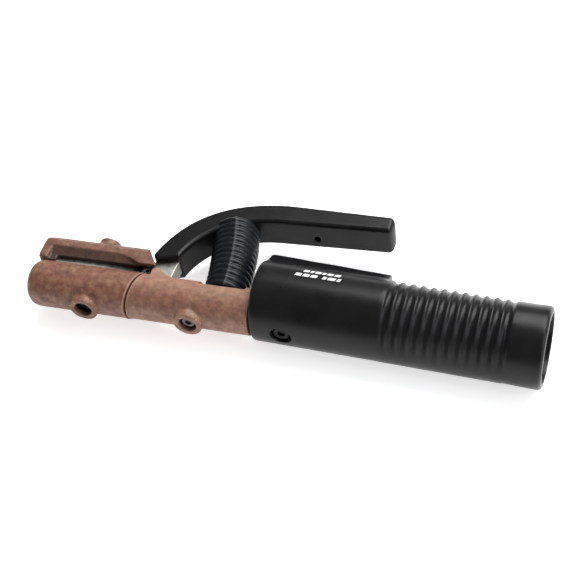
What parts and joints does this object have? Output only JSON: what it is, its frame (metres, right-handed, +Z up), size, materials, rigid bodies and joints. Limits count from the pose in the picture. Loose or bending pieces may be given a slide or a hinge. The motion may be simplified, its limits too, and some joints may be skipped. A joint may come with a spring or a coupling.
{
  "type": "electrode holder",
  "caption": "Insulated tong-type welding electrode holder: sprung squeeze lever, clamping jaws, ribbed tubular handle and cable socket.",
  "frame": {"origin": "bottom centre of the bounding box, with the holder lying on its side", "axes": "+X along the handle to the cable end, +Y towards the squeeze lever, +Z up along the hinge pin"},
  "size_m": [0.2262, 0.0724, 0.0342],
  "materials": {
    "black_moulding": "matte moulded thermoset with a fine grain",
    "brown_moulding": "mottled glass-filled moulding compound, satin",
    "casting": "tinned copper alloy casting, worn",
    "boot_rubber": "glossy ribbed rubber",
    "steel": "zinc plated",
    "spring_steel": "drawn wire",
    "dark_screw": "black oxide"
  },
  "bodies": {
    "body": {"handle": "black_moulding", "lower_tip_insulator": "brown_moulding", "body_insulator": "brown_moulding", "body_casting": "casting", "spring_boot": "boot_rubber", "hinge_pin": "steel", "return_spring": "spring_steel", "spring_washer_lower": "steel", "lower_tip_screw": "dark_screw", "body_insulator_screw": "steel", "handle_screw": "dark_screw", "cable_set_screw_front": "steel", "cable_set_screw_rear": "steel", "cable_clamp_shoe": "casting"},
    "lever": {"lever_casting": "casting", "upper_tip_insulator": "brown_moulding", "lever_insulator": "black_moulding", "upper_tip_screw": "steel", "lever_set_screw": "dark_screw", "spring_washer_upper": "steel"}
  },
  "joints": [
    {"name": "lever_hinge", "type": "hinge", "parent": "body", "child": "lever", "pos_m": [-0.05951, -0.01404, 0.0171], "axis": [0, 0, -1], "range_deg": [0, 13], "stiffness_Nm_per_rad": 4, "springref_deg": -20.05, "deforming": ["return_spring", "spring_boot"]}
  ]
}
